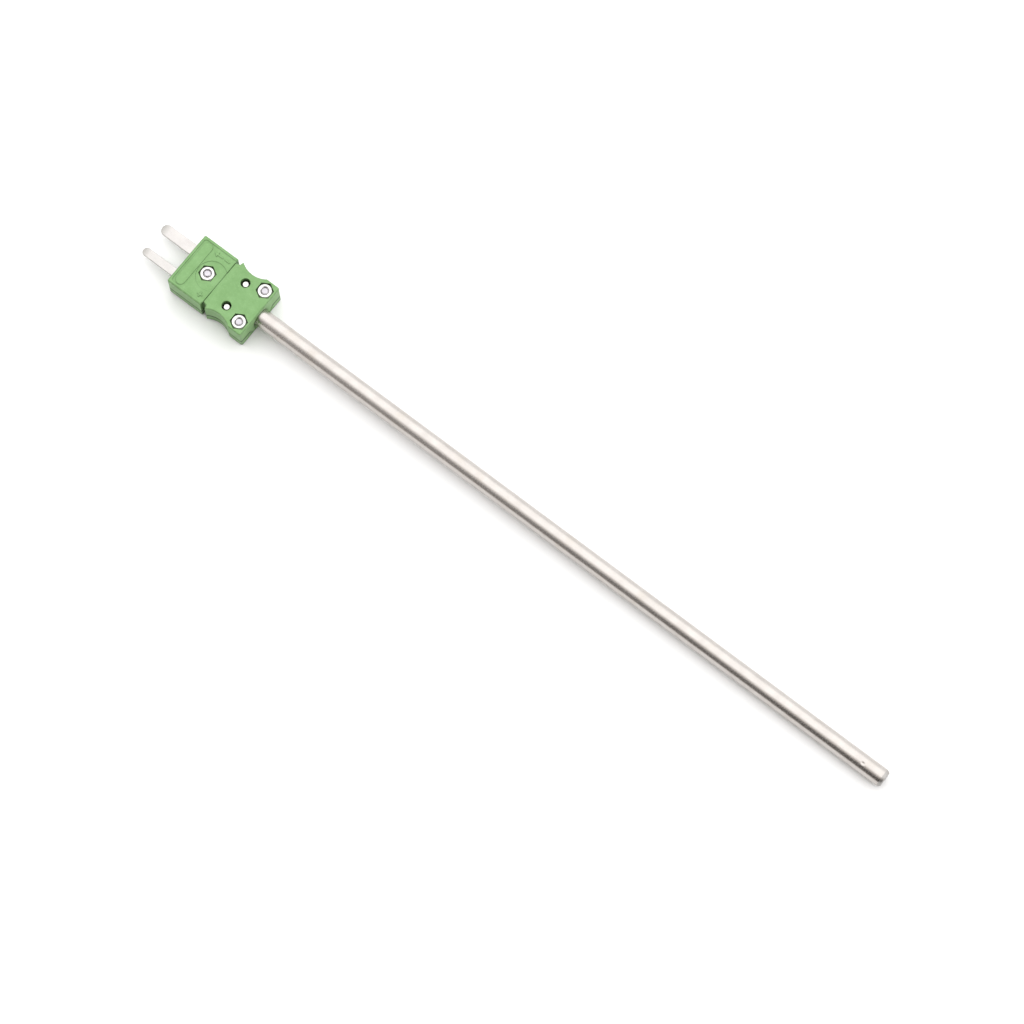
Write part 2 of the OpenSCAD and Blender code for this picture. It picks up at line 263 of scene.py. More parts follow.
def worked_metal(
    name, dark, light, rough, marks_mm, depth_mm, stretch=(1, 1, 1), stain_and_shade=None, shade_end=None
):
    """Metal with tool marks of one direction, small pits, and roughness that varies with them.

    The stain colour sits in patches as a real stain; where the end's two X positions are given, in
    millimetres, it is painted shade that fades in between them.
    """
    material, tree, shader, place = new_material(name)
    cloud = spread(tree, noise_field(tree, place, size_mm=3.1, detail=3), 0, 1)
    marks = noise_field(tree, place, size_mm=marks_mm, detail=4, stretch=stretch)
    pits = noise_field(tree, place, size_mm=marks_mm * 1.7, detail=1)
    colour = blend_colour(tree, cloud, dark, light)
    if shade_end:
        along = add(tree, "ShaderNodeSeparateXYZ", {"Vector": place}).outputs["X"]
        painted_shade_fade = spread(tree, along, 1, 0, shade_end[0] * MM, shade_end[1] * MM)
        colour = mix_over(tree, colour, stain_and_shade, painted_shade_fade)
    elif stain_and_shade:
        field = noise_field(tree, place, size_mm=5.5, detail=2)
        patches = spread(tree, field, low=0, high=0.5, from_low=0.55, from_high=0.75)
        colour = mix_over(tree, colour, stain_and_shade, patches)
    tree.links.new(colour, shader.inputs["Base Color"])
    shader.inputs["Metallic"].default_value = 1.0
    tree.links.new(spread(tree, marks, rough * 0.8, rough * 1.25), shader.inputs["Roughness"])
    bumps(tree, shader, (marks, depth_mm), (pits, depth_mm))
    return material


def resin(name):
    """Amber potting resin: glossy and slightly see-through."""
    material, tree, shader, place = new_material(name)
    cloud = spread(tree, noise_field(tree, place, size_mm=0.8, detail=2), 0, 1)
    colour = blend_colour(tree, cloud, (0.30, 0.12, 0.03), (0.42, 0.19, 0.06))
    tree.links.new(colour, shader.inputs["Base Color"])
    shader.inputs["Roughness"].default_value = 0.16
    shader.inputs["Transmission Weight"].default_value = 0.25
    bumps(tree, shader, (noise_field(tree, place, size_mm=0.5, detail=1), 0.01))
    return material


def powder(name):
    """Compacted magnesia: chalky, with fine grains."""
    material, tree, shader, place = new_material(name)
    grain = noise_field(tree, place, size_mm=0.12, detail=4)
    colour = blend_colour(tree, spread(tree, grain, 0, 1), (0.71, 0.70, 0.665), (0.81, 0.80, 0.775))
    tree.links.new(colour, shader.inputs["Base Color"])
    shader.inputs["Roughness"].default_value = 0.95
    bumps(tree, shader, (grain, 0.03))
    return material


GREEN_DARK = (0.164, 0.324, 0.114)
GREEN_LIGHT = (0.206, 0.382, 0.150)
ROLLED = {"rough": 0.30, "marks_mm": 0.12, "depth_mm": 0.004, "stretch": (9, 1, 1)}
DRAWN = {"rough": 0.35, "marks_mm": 0.10, "depth_mm": 0.004, "stretch": (4, 1, 1)}
MATERIALS = {
    "green_shell_nut_side": moulded_plastic("green_plastic_nut_side", GREEN_DARK, GREEN_LIGHT),
    # Painted shade: the screw-side shell is a slightly darker copy of the same plastic.
    "green_shell_screw_side": moulded_plastic(
        "green_plastic_screw_side_shaded", shade(GREEN_DARK, 0.95), shade(GREEN_LIGHT, 0.95)
    ),
    "positive_blade_alloy": worked_metal(
        "rolled_nickel_chromium", (0.487, 0.469, 0.451), (0.531, 0.513, 0.496), **ROLLED
    ),
    "negative_blade_alloy": worked_metal(
        "rolled_nickel_aluminium", (0.496, 0.473, 0.460), (0.540, 0.518, 0.500), **ROLLED
    ),
    "plated_screw_steel": worked_metal(
        "zinc_plated_screw", (0.42, 0.40, 0.43), (0.52, 0.50, 0.53),
        rough=0.30, marks_mm=0.10, depth_mm=0.004,
    ),
    "plated_terminal_steel": worked_metal(
        "nickel_plated_screw", (0.62, 0.605, 0.585), (0.72, 0.705, 0.68),
        rough=0.28, marks_mm=0.10, depth_mm=0.003,
    ),
    "plated_nut_steel": worked_metal(
        "zinc_plated_nut", (0.655, 0.645, 0.63), (0.745, 0.735, 0.715),
        rough=0.34, marks_mm=0.12, depth_mm=0.003,
    ),
    "plated_washer_steel": worked_metal(
        "zinc_plated_washer", (0.585, 0.575, 0.56), (0.67, 0.665, 0.645),
        rough=0.30, marks_mm=0.12, depth_mm=0.003,
    ),
    "ground_stainless": worked_metal(
        "ground_stainless_steel", (0.50, 0.468, 0.443), (0.555, 0.525, 0.498),
        rough=0.24, marks_mm=0.16, depth_mm=0.006, stretch=(1, 4, 4), stain_and_shade=(0.487, 0.445, 0.40),
    ),
    "packed_magnesia": powder("packed_magnesia"),
    "epoxy_resin": resin("amber_resin"),
    "welded_bead": worked_metal(
        "oxidised_weld", (0.20, 0.19, 0.20), (0.36, 0.34, 0.33),
        rough=0.45, marks_mm=0.25, depth_mm=0.02, stain_and_shade=(0.25, 0.17, 0.22),
    ),
    "positive_thermoelement": worked_metal(
        "nickel_chromium_wire", (0.41, 0.39, 0.38), (0.515, 0.495, 0.485), **DRAWN
    ),
    "negative_thermoelement": worked_metal(
        "nickel_aluminium_wire", (0.48, 0.47, 0.45), (0.585, 0.575, 0.55), **DRAWN
    ),
}
# Painted shade on the coined blade tip: its colour darkens towards the end.
SHADED_BLADE_TIP = worked_metal(
    "blade_tip_painted_shade", (0.491, 0.471, 0.455), (0.535, 0.515, 0.498), **ROLLED,
    stain_and_shade=(0.33, 0.32, 0.30), shade_end=(BLADE_TIP_X + 0.2, BLADE_TIP_X + LEAD_IN_L),
)
# The weld's dressed taper and end face: a darker colour, partly the weld's own and partly painted shade.
DRESSED_WELD_AND_SHADE = worked_metal(
    "dressed_weld_and_shade", (0.36, 0.35, 0.335), (0.44, 0.425, 0.41),
    rough=0.40, marks_mm=0.14, depth_mm=0.006, stain_and_shade=(0.31, 0.275, 0.235),
)
# Painted shade: the shells' rounded edges take darker copies of their plastic, a little glossier than
# their faces.
SHADED_EDGE_COPIES = {
    "green_shell_nut_side": moulded_plastic(
        "shaded_edge_nut_side", shade(GREEN_DARK, 0.80), shade(GREEN_LIGHT, 0.84), gloss=0.08
    ),
    "green_shell_screw_side": moulded_plastic(
        "shaded_edge_screw_side", shade(GREEN_DARK, 0.76), shade(GREEN_LIGHT, 0.80), gloss=0.08
    ),
}


# --- mesh helpers --------------------------------------------------------------------------------


def place_piece(name, bm, node):
    """Writes a millimetre mesh as a piece that stands for a CAD node and rides on its body."""
    bmesh.ops.recalc_face_normals(bm, faces=bm.faces)
    bm.transform(Matrix.Scale(MM, 4))
    mesh = bpy.data.meshes.new(name)
    bm.to_mesh(mesh)
    bm.free()
    mesh.materials.append(MATERIALS[SLOT_OF[node]])
    mesh.polygons.foreach_set("use_smooth", [True] * len(mesh.polygons))
    piece = bpy.data.objects.new(name, mesh)
    bpy.context.scene.collection.objects.link(piece)
    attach(piece, BODY_OF[node])
    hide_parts(node)
    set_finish(piece, SLOT_OF[node])
    return piece


def cad_copy(node):
    """A CAD node's mesh in millimetres, with its flat faces joined up again."""
    bm = bmesh.new()
    bm.from_mesh(frame["nodes"][node].data)
    bm.transform(Matrix.Scale(1 / MM, 4))
    bmesh.ops.remove_doubles(bm, verts=bm.verts, dist=SAME_PLACE)
    bmesh.ops.dissolve_limit(bm, angle_limit=FLAT, verts=bm.verts, edges=bm.edges)
    return bm


def mark_edges(bm, radius_of, widest):
    """Bevel weights for the convex edges, from radius_of(middle, edge); other real edges stay sharp."""
    weight = bm.edges.layers.float.new("bevel_weight_edge")
    bm.normal_update()
    for edge in bm.edges:
        if len(edge.link_faces) != 2 or abs(edge.calc_face_angle_signed()) < SHARP:
            continue
        radius = 0
        if edge.calc_face_angle_signed() > 0:
            radius = radius_of((edge.verts[0].co + edge.verts[1].co) / 2, edge)
        edge[weight] = radius / widest
        edge.smooth = radius > 0


def round_edges(piece, widest):
    """Rounds the weighted edges and keeps the flat faces flat in the shading."""
    bevel = piece.modifiers.new("rounded_edges", "BEVEL")
    bevel.limit_method = "WEIGHT"
    bevel.width = widest * MM
    bevel.segments = 3
    bevel.use_clamp_overlap = False
    bevel.loop_slide = False
    # painted shade: a darker copy of the plastic on the rounded edges, where one is given
    edge_material = SHADED_EDGE_COPIES.get(piece["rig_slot"])
    if edge_material:
        piece.data.materials.append(edge_material)
        bevel.material = 1
    normals = piece.modifiers.new("flat_faces", "WEIGHTED_NORMAL")
    normals.keep_sharp = True


def rounded_copy(name, node, radius_of, widest):
    """A CAD node's shape with rounded edges, as a piece."""
    bm = cad_copy(node)
    mark_edges(bm, radius_of, widest)
    round_edges(place_piece(name, bm, node), widest)


def skin(bm, rows, closed=False):
    """Quads between rows of vertices that each go once round. closed joins the last row to the first."""
    pairs = list(zip(rows, rows[1:])) + ([(rows[-1], rows[0])] if closed else [])
    for lower, upper in pairs:
        for i in range(len(lower)):
            j = (i + 1) % len(lower)
            bm.faces.new((lower[i], lower[j], upper[j], upper[i]))


def skin_solid(bm, rows):
    """Quads between rows, and a flat face on the first and the last row."""
    skin(bm, rows)
    bm.faces.new(rows[0])
    bm.faces.new(rows[-1])


def turned_rows(bm, centre, rings, steps):
    """Rows of vertices about a vertical axis. A ring gives (radius, height) for an angle."""
    rows = []
    for ring in rings:
        row = []
        for i in range(steps):
            angle = TURN * i / steps
            radius, height = ring(angle)
            spot = (centre.x + radius * math.cos(angle), centre.y + radius * math.sin(angle), height)
            row.append(bm.verts.new(spot))
        rows.append(row)
    return rows


def circle(radius, height):
    """A ring of a turned body that is a plain circle."""
    return lambda angle: (radius, height)


# --- plug shells ---------------------------------------------------------------------------------

HOLE_PLACES = [sum(box_mm(n), Vector()) / 2 for n in BODY_SCREWS + TERMINAL_SCREWS]
HOLE_REACH = 2.6  # edges this near a screw's axis belong to its hole or pocket
CORNER_R = 0.5
NOTCH_CORNER_R = 0.15
NOSE_TOP_R = 0.45
TAIL_TOP_R = 0.3  # less than the wall outside the rear nut pockets
BOTTOM_R = 0.45
SEAM_R = 0.25
YOKE_R = 0.18
YOKE_INNER_Y = 3.2  # the yoke's rounded edge on the rear face lies outside this half width
MARK_R = 0.06  # on the nose's raised marks and its rim
SMALL_R = 0.05
NEAR = 0.01  # heights and widths closer than this are the same
FRONT_EDGE_X = PLUG_FRONT_X + 0.1  # edges of the front face lie before this
REAR_EDGE_X = -0.1  # and those of the rear face behind this


def is_upright(edge):
    """True for an edge that runs mostly along Z."""
    rise = abs(edge.verts[0].co.z - edge.verts[1].co.z)
    return rise > 0.9 * edge.calc_length()


def on_outline(middle):
    """True on the plug's outer edges, and False round its holes and pockets."""
    for hole in HOLE_PLACES:
        if (middle - hole).xy.length < HOLE_REACH:
            return False
    if middle.x < FRONT_EDGE_X or middle.x > REAR_EDGE_X:
        return True
    side_y = NOSE_Y - 0.1 if middle.x < NOTCH_X - 0.2 else NOTCH_Y - NEAR
    return abs(middle.y) > side_y


def upright_radius(middle):
    """Rounding of an upright outer edge: the plug's four corners are the softest."""
    if abs(middle.y) < NOTCH_Y - NEAR:
        return SMALL_R
    if middle.x < FRONT_EDGE_X or middle.x > REAR_EDGE_X:
        return CORNER_R
    return NOTCH_CORNER_R


def on_yoke(middle):
    """True on the rear face's edges round the yoke, below the parting plane."""
    on_arc = YOKE_INNER_Y < abs(middle.y) < NOTCH_Y and middle.z < PARTING_Z - NEAR
    return on_arc and middle.x > REAR_EDGE_X and middle.z > BOTTOM_Z + NEAR


def nut_shell_radius(middle, edge):
    """Rounding of an edge of the shell with the nut pockets."""
    if on_yoke(middle):
        return YOKE_R
    if on_outline(middle):
        if is_upright(edge):
            return upright_radius(middle)
        if abs(middle.z - TOP_Z) < NEAR:
            return NOSE_TOP_R if middle.x < NOTCH_X else TAIL_TOP_R
        if abs(middle.z - PARTING_Z) < NEAR:
            return SEAM_R
    if middle.z > NOSE_Z - 0.2 and not is_upright(edge):
        return MARK_R
    return SMALL_R


def screw_shell_radius(middle, edge):
    """Rounding of an edge of the shell that takes the screws' heads."""
    if on_yoke(middle):
        return YOKE_R
    if on_outline(middle):
        if is_upright(edge):
            return upright_radius(middle)
        if abs(middle.z - BOTTOM_Z) < NEAR:
            return BOTTOM_R
        if abs(middle.z - PARTING_Z) < NEAR:
            return SEAM_R
    return SMALL_R


rounded_copy("moulded_shell_nut_side", "nut_side_shell", nut_shell_radius, CORNER_R)
rounded_copy("moulded_shell_screw_side", "screw_side_shell", screw_shell_radius, CORNER_R)


# --- blades and washers --------------------------------------------------------------------------

WEDGE_X = BLADE_TIP_X + LEAD_IN_L  # where a blade starts to get thinner
LEAD_IN_STEPS = 6
LEAD_IN_R = 0.16
BLADE_R = 0.14
DEBURRED_R = 0.08
TIP_THINNING = 0.55  # share of the blade's thickness that is gone at its tip


def blade_radius(middle, edge):
    """The tip's edge and the long edges are softened; the tab inside is only deburred."""
    if middle.x < WEDGE_X:
        return LEAD_IN_R
    return BLADE_R if middle.x < PLUG_FRONT_X + 2 else DEBURRED_R


def washer_radius(middle, edge):
    """Every edge of a washer is deburred alike."""
    return DEBURRED_R


def coined_blade(name, node):
    """A blade whose tip is coined to a curved wedge, so that it enters the socket easily."""
    bm = cad_copy(node)
    for step in range(LEAD_IN_STEPS):
        cut = {"plane_co": (WEDGE_X - step * LEAD_IN_L / LEAD_IN_STEPS, 0, 0), "plane_no": (1, 0, 0)}
        everything = bm.verts[:] + bm.edges[:] + bm.faces[:]
        bmesh.ops.bisect_plane(bm, geom=everything, dist=SAME_PLACE / 10, **cut)
    tip = [v for v in bm.verts if v.co.x < WEDGE_X - SAME_PLACE]
    middle_z = (min(v.co.z for v in tip) + max(v.co.z for v in tip)) / 2
    for v in tip:
        thinning = TIP_THINNING * ((WEDGE_X - v.co.x) / LEAD_IN_L) ** 2
        v.co.z = middle_z + (v.co.z - middle_z) * (1 - thinning)
    mark_edges(bm, blade_radius, LEAD_IN_R)
    piece = place_piece(name, bm, node)
    round_edges(piece, LEAD_IN_R)
    # painted shade: the coined tip's faces take a material that darkens towards the tip
    piece.data.materials.append(SHADED_BLADE_TIP)
    for face in piece.data.polygons:
        face.material_index = int(face.center.x < WEDGE_X * MM)


for polarity in ("positive", "negative"):
    coined_blade(polarity + "_blade_coined", polarity + "_pin")
    washer = polarity + "_terminal_washer"
    rounded_copy(polarity + "_clamp_washer", washer, washer_radius, DEBURRED_R)


# --- screws and nuts -----------------------------------------------------------------------------

PITCH = 0.4
ROWS_PER_PITCH = 8
THREAD_R = 0.95
THREAD_DEPTH = 0.2
TAIL_CHAMFER = 0.22
TAIL_DISH = 0.04  # hollow in the screw's end
UNDERCUT = 0.12  # from the head to the first thread
HEAD_EDGE_R = 0.16
SEAT_EDGE_R = 0.08
RECESS_W = 0.5
RECESS_DEPTH = 0.45
SCREW_STEPS = 36
NUT_BORE_R = 1.0
NUT_THREAD_DEPTH = 0.12
COUNTERSINK = 0.25
CORNER_CHAMFER = math.radians(44)
NUT_EDGE_R = 0.04
NUT_STEPS = 72


def thread_wave(angle, height):
    """0 on a thread's crest and 1 at its root, for a right-hand thread."""
    phase = (height / PITCH - angle / TURN) % 1
    return min(1, max(0, 1.25 * abs(2 * phase - 1) - 0.12))


def thread_rows(low, high, radius_of):
    """Rings of a threaded stretch. radius_of(angle, height) gives its surface."""
    count = max(2, round((high - low) / PITCH * ROWS_PER_PITCH))
    heights = [low + (high - low) * i / count for i in range(count + 1)]
    return [lambda angle, h=h: (radius_of(angle, h), h) for h in heights]


def cross_cutter(centre, low, long, crossed):
    """Slot, or tapered cross, that cuts the recess in a screw head's lower face."""
    bm = bmesh.new()
    for turn in (0, math.pi / 2)[: 2 if crossed else 1]:
        made = bmesh.ops.create_cube(bm, size=2)["verts"]
        for v in made:
            inner = v.co.z > 0
            taper = 0.55 if inner and crossed else 1
            v.co = Vector((v.co.x * long * taper, v.co.y * RECESS_W / 2, v.co.z * RECESS_DEPTH))
        bmesh.ops.rotate(bm, verts=made, matrix=Matrix.Rotation(turn, 3, "Z"))
    bmesh.ops.translate(bm, vec=(centre.x, centre.y, low), verts=bm.verts)
    return bm


def cut_away(piece, cutter_bm):
    """Cuts a millimetre mesh out of a piece's own mesh."""
    cutter_bm.transform(Matrix.Scale(MM, 4))
    mesh = bpy.data.meshes.new("cutter")
    cutter_bm.to_mesh(mesh)
    cutter_bm.free()
    cutter = bpy.data.objects.new("cutter", mesh)
    bpy.context.scene.collection.objects.link(cutter)
    cut = piece.modifiers.new("recess", "BOOLEAN")
    cut.operation = "DIFFERENCE"
    cut.object = cutter
    cut.solver = "EXACT"
    cut.use_self = True
    bpy.context.view_layer.update()
    done = bpy.data.meshes.new_from_object(piece.evaluated_get(bpy.context.evaluated_depsgraph_get()))
    piece.modifiers.clear()
    piece.data = done
    bpy.data.objects.remove(cutter)
    bpy.data.meshes.remove(mesh)


def shade_by_angle(piece, degrees=32):
    """Smooth shading that stops at real edges."""
    mesh = piece.data
    bm = bmesh.new()
    bm.from_mesh(mesh)
    for edge in bm.edges:
        if len(edge.link_faces) == 2:
            edge.smooth = edge.calc_face_angle(0) < math.radians(degrees)
    bm.to_mesh(mesh)
    bm.free()


def threaded_screw(name, node, head_h, crossed):
    """Cheese head screw with a rolled thread, a chamfered tail and a recess in its head."""
    low, high = box_mm(node)
    centre = (low + high) / 2
    head_r = (high.x - low.x) / 2
    seat = low.z + head_h
    tail_r = THREAD_R - TAIL_CHAMFER

    def surface(angle, height):
        crest = THREAD_R - THREAD_DEPTH * thread_wave(angle, height)
        run_out = min(1, (height - seat) / PITCH)
        crest = THREAD_R * (1 - run_out) + crest * run_out
        return min(crest, tail_r + (high.z - height))

    arc = [(1 - math.sin(math.radians(a)), 1 - math.cos(math.radians(a))) for a in (0, 30, 60, 90)]
    rings = [circle(head_r * 0.45, low.z)]
    rings += [circle(head_r - HEAD_EDGE_R * side, low.z + HEAD_EDGE_R * end) for side, end in arc]
    rings += [circle(head_r - SEAT_EDGE_R * side, seat - SEAT_EDGE_R * end) for end, side in arc]
    rings += [circle(THREAD_R + UNDERCUT, seat), circle(THREAD_R + 0.03, seat + 0.03)]
    rings += thread_rows(seat + UNDERCUT, high.z, surface)
    rings += [circle(tail_r - 0.12, high.z - 0.015), circle(0.12, high.z - TAIL_DISH)]
    bm = bmesh.new()
    skin_solid(bm, turned_rows(bm, centre, rings, SCREW_STEPS))
    piece = place_piece(name, bm, node)
    long = head_r * 0.6 if crossed else head_r + 0.2
    cut_away(piece, cross_cutter(centre, low.z, long, crossed))
    shade_by_angle(piece)


def threaded_nut(name, node):
    """Hexagon nut with turned corners and a countersunk, threaded bore."""
    low, high = box_mm(node)
    centre = (low + high) / 2
    half_flats = (high.x - low.x) / 2
    chamfer_r = half_flats * 0.91
    sink_r = NUT_BORE_R + COUNTERSINK

    def flats(angle, inset=0.0):
        """The hexagon's radius at an angle, with its flats moved in by inset."""
        return (half_flats - inset) / math.cos((angle + math.pi / 6) % (math.pi / 3) - math.pi / 6)

    def drop(angle):
        """How far the turned corner lies below the nut's face."""
        return 0.03 + max(0, flats(angle) - chamfer_r) * math.tan(CORNER_CHAMFER)

    def bore(angle, height):
        return NUT_BORE_R + NUT_THREAD_DEPTH * thread_wave(angle, height)

    rings = [
        circle(sink_r, low.z),
        circle(chamfer_r - 0.05, low.z),
        lambda a: (flats(a, NUT_EDGE_R), low.z + drop(a)),
        lambda a: (flats(a), low.z + drop(a) + NUT_EDGE_R),
        lambda a: (flats(a), high.z - drop(a) - NUT_EDGE_R),
        lambda a: (flats(a, NUT_EDGE_R), high.z - drop(a)),
        circle(chamfer_r - 0.05, high.z),
        circle(sink_r + 0.05, high.z),
        circle(sink_r, high.z - 0.02),
    ]
    rings += reversed(thread_rows(low.z + COUNTERSINK, high.z - COUNTERSINK, bore))
    bm = bmesh.new()
    skin(bm, turned_rows(bm, centre, rings, NUT_STEPS), closed=True)
    shade_by_angle(place_piece(name, bm, node), 24)


for node in BODY_SCREWS:
    threaded_screw(node.replace("body_screw", "machine_screw"), node, BODY_HEAD_H, crossed=True)
for node in TERMINAL_SCREWS:
    threaded_screw(node.replace("terminal", "clamping"), node, TERMINAL_HEAD_H, crossed=False)
for node in BODY_NUTS:
    threaded_nut(node.replace("body_nut", "hexagon_nut"), node)


# --- sheath --------------------------------------------------------------------------------------

SHEATH_STEPS = 120
SHEATH_START_X = box_mm("sheath_tube")[0].x
SHEATH_END_X = box_mm("sheath_tube")[1].x
GRIP_R = SHEATH_R - 0.2  # the sheath is thinner where the plug grips it
STEP_X = -0.2  # and that part ends here
SHEATH_BORE_R = SHEATH_R - 0.5
GRIND_DEPTH = 0.004
DENT_X = TIP_X - 6.7
DENT_ANGLE = math.radians(102)  # from +Y towards +Z
DENT_DEPTH = 0.15
DENT_RIM = 0.012  # height of the metal pushed up round the dent
DENT_HALF_W = 0.34
DENT_HALF_L = 0.5
DENT_REACH = 6  # square of the distance, in half sizes of the dent, where its rim has died out


def spaced(start, end, step):
    """Even steps from start to end, each about as long as step."""
    count = max(1, round((end - start) / step))
    return [start + (end - start) * i / count for i in range(count + 1)]


def along_x(bm, stations, steps, surface=None):
    """Rows of vertices about the X axis at (x, radius) stations, from +Y towards +Z.

    surface(x, angle, radius) may change a radius.
    """
    rows = []
    for x, radius in stations:
        row = []
        for i in range(steps):
            angle = TURN * i / steps
            r = surface(x, angle, radius) if surface else radius
            row.append(bm.verts.new((x, r * math.cos(angle), r * math.sin(angle))))
        rows.append(row)
    return rows


def ground_surface(x, angle, radius):
    """The sheath's outside: slightly uneven from grinding, with one dent near the tip."""
    spot = Vector((x * 0.35, math.cos(angle) * 1.1, math.sin(angle) * 1.1))
    radius += GRIND_DEPTH * noise.noise(spot) - GRIND_DEPTH
    across = (angle - DENT_ANGLE) * SHEATH_R / DENT_HALF_W
    along = (x - DENT_X) / DENT_HALF_L
    square = across * across + along * along
    if square < DENT_REACH:
        radius -= DENT_DEPTH * math.exp(-square)
        radius += DENT_RIM * math.exp(-((math.sqrt(square) - 1.6) ** 2) * 4)
    return min(radius, SHEATH_R)


def sheath_piece():
    """Drawn tube with a thinner end inside the plug and a dent near its tip."""
    bm = bmesh.new()
    outer = [(x, GRIP_R) for x in (SHEATH_START_X, SHEATH_START_X / 2, STEP_X)]
    outer += [(STEP_X + 0.05, GRIP_R + 0.02), (STEP_X + 0.06, SHEATH_R - 0.03), (STEP_X + 0.1, SHEATH_R)]
    outer += [(x, SHEATH_R) for x in spaced(0, DENT_X - 1.4, 1.6)]
    outer += [(x, SHEATH_R) for x in spaced(DENT_X - 1.3, DENT_X + 1.3, 0.1)]
    outer += [(x, SHEATH_R) for x in spaced(DENT_X + 1.8, SHEATH_END_X, 1)]
    inner = [(x, SHEATH_BORE_R) for x in (SHEATH_END_X, 100, SHEATH_START_X)]

    def surface(x, angle, radius):
        return ground_surface(x, angle, radius) if radius > GRIP_R + 0.1 else radius

    skin(bm, along_x(bm, outer + inner, SHEATH_STEPS, surface), closed=True)
    piece = place_piece("ground_sheath_tube", bm, "sheath_tube")
    shade_by_angle(piece)


def tip_piece():
    """Closing disc: a spigot in the bore, a flush rim, and a taper and face dressed after welding."""
    low = box_mm("tip_plug")[0]
    bm = bmesh.new()
    taper_x = TIP_X - TIP_TAPER
    slope = (SHEATH_R - TIP_END_R) / TIP_TAPER
    spigot = [(low.x, 0.4), (low.x, SHEATH_BORE_R - 0.1), (low.x + 0.1, SHEATH_BORE_R)]
    spigot += [(SHEATH_END_X, SHEATH_BORE_R), (SHEATH_END_X, SHEATH_R - 0.02)]
    rim = [(SHEATH_END_X + 0.01, SHEATH_R), (taper_x - 0.12, SHEATH_R)]
    rim += [(taper_x, SHEATH_R - 0.02), (taper_x + 0.12, SHEATH_R - 0.07)]
    taper = [(x, SHEATH_R - slope * (x - taper_x)) for x in spaced(taper_x + 0.3, TIP_X - 0.15, 0.1)]
    end_face = [
        (TIP_X - 0.07, TIP_END_R + 0.01),
        (TIP_X - 0.02, TIP_END_R - 0.07),
        (TIP_X, TIP_END_R - 0.25),
        (TIP_X, TIP_END_R * 0.5),
        (TIP_X, 0.2),
    ]
    stations = spigot + rim + taper + end_face

    def surface(x, angle, radius):
        return ground_surface(x, angle, radius) if radius > SHEATH_R - 0.01 else radius

    skin_solid(bm, along_x(bm, stations, SHEATH_STEPS, surface))
    piece = place_piece("welded_tip", bm, "tip_plug")
    # weld colour and painted shade on the taper and end face
    piece.data.materials.append(DRESSED_WELD_AND_SHADE)
    for face in piece.data.polygons:
        face.material_index = int(face.center.x > taper_x * MM)
    shade_by_angle(piece)


sheath_piece()
tip_piece()


# --- inside the sheath ---------------------------------------------------------------------------


def smooth_path(points, per_span):
    """A Catmull-Rom line through points."""
    ends = [points[0] * 2 - points[1]] + points + [points[-1] * 2 - points[-2]]
    line = []
    for i in range(1, len(ends) - 2):
        a, b, c, d = ends[i - 1 : i + 3]
        for k in range(per_span):
            t = k / per_span
            bend = (2 * a - 5 * b + 4 * c - d) * t * t + (3 * b - a - 3 * c + d) * t**3
            line.append((2 * b + (c - a) * t + bend) / 2)
    return line + [points[-1]]


def swept(line, radius, steps):
    """Round bar along a line of points, with softened ends."""
    bm = bmesh.new()
    rows = []
    side = Vector((0, 1, 0))
    last = len(line) - 1
    for i, point in enumerate(line):
        ahead = (line[min(i + 1, last)] - line[max(i - 1, 0)]).normalized()
        side = (side - ahead * side.dot(ahead)).normalized()
        up = ahead.cross(side)
        r = radius * (0.8 if i in (0, last) else 1)
        row = [
            bm.verts.new(point + (side * math.cos(a) + up * math.sin(a)) * r)
            for a in (TURN * k / steps for k in range(steps))
        ]
        rows.append(row)
    skin_solid(bm, rows)
    return bm


SCREW_TO_WIRE = 1.4  # from a terminal screw's axis to the wire beside it


def wire_piece(name, node):
    """Thermoelement: out of the seal, bent down and outwards, and laid on its washer."""
    low, high = box_mm(node)
    side = 1 if high.y > -low.y else -1
    washer = box_mm(node.replace("wire", "terminal_washer"))
    clamp_z = washer[1].z + WIRE_R + 0.01
    screw = (washer[0] + washer[1]) / 2
    inner_y = abs(screw.y) - SCREW_TO_WIRE
    points = [
        Vector((SEAL_LOW.x + 0.9, WIRE_Y, 0)),
        Vector((SEAL_LOW.x - 0.2, WIRE_Y, 0)),
        Vector((SEAL_LOW.x - 0.6, WIRE_Y + 0.1, -0.3)),
        Vector((SEAL_LOW.x - 0.9, WIRE_Y + 0.45, clamp_z + 0.35)),
        Vector((screw.x + 1.2, inner_y - 0.2, clamp_z)),
        Vector((screw.x, inner_y, clamp_z)),
        Vector((screw.x - 1.7, inner_y, clamp_z)),
    ]
    line = smooth_path(points, 6)
    line = [Vector((high.x, WIRE_Y, 0)), Vector((high.x * 0.5, WIRE_Y, 0))] + line
    line = [Vector((p.x, p.y * side, p.z)) for p in line]
    place_piece(name, swept(line, WIRE_R, 16), node)


def seal_piece():
    """Resin plug with a meniscus that climbs the sheath's wall."""
    rim = SEAL_HIGH.y
    bm = bmesh.new()
    profile = [
        (SEAL_HIGH.x, 0.3),
        (SEAL_HIGH.x, rim),
        (SEAL_LOW.x, rim),
        (SEAL_LOW.x + 0.02, rim - 0.08),
        (SEAL_LOW.x + 0.12, rim - 0.3),
        (SEAL_LOW.x + 0.18, rim * 0.55),
        (SEAL_LOW.x + 0.16, 0.2),
    ]
    skin_solid(bm, along_x(bm, profile, 48))
    shade_by_angle(place_piece("resin_end_seal", bm, "end_seal"), 50)


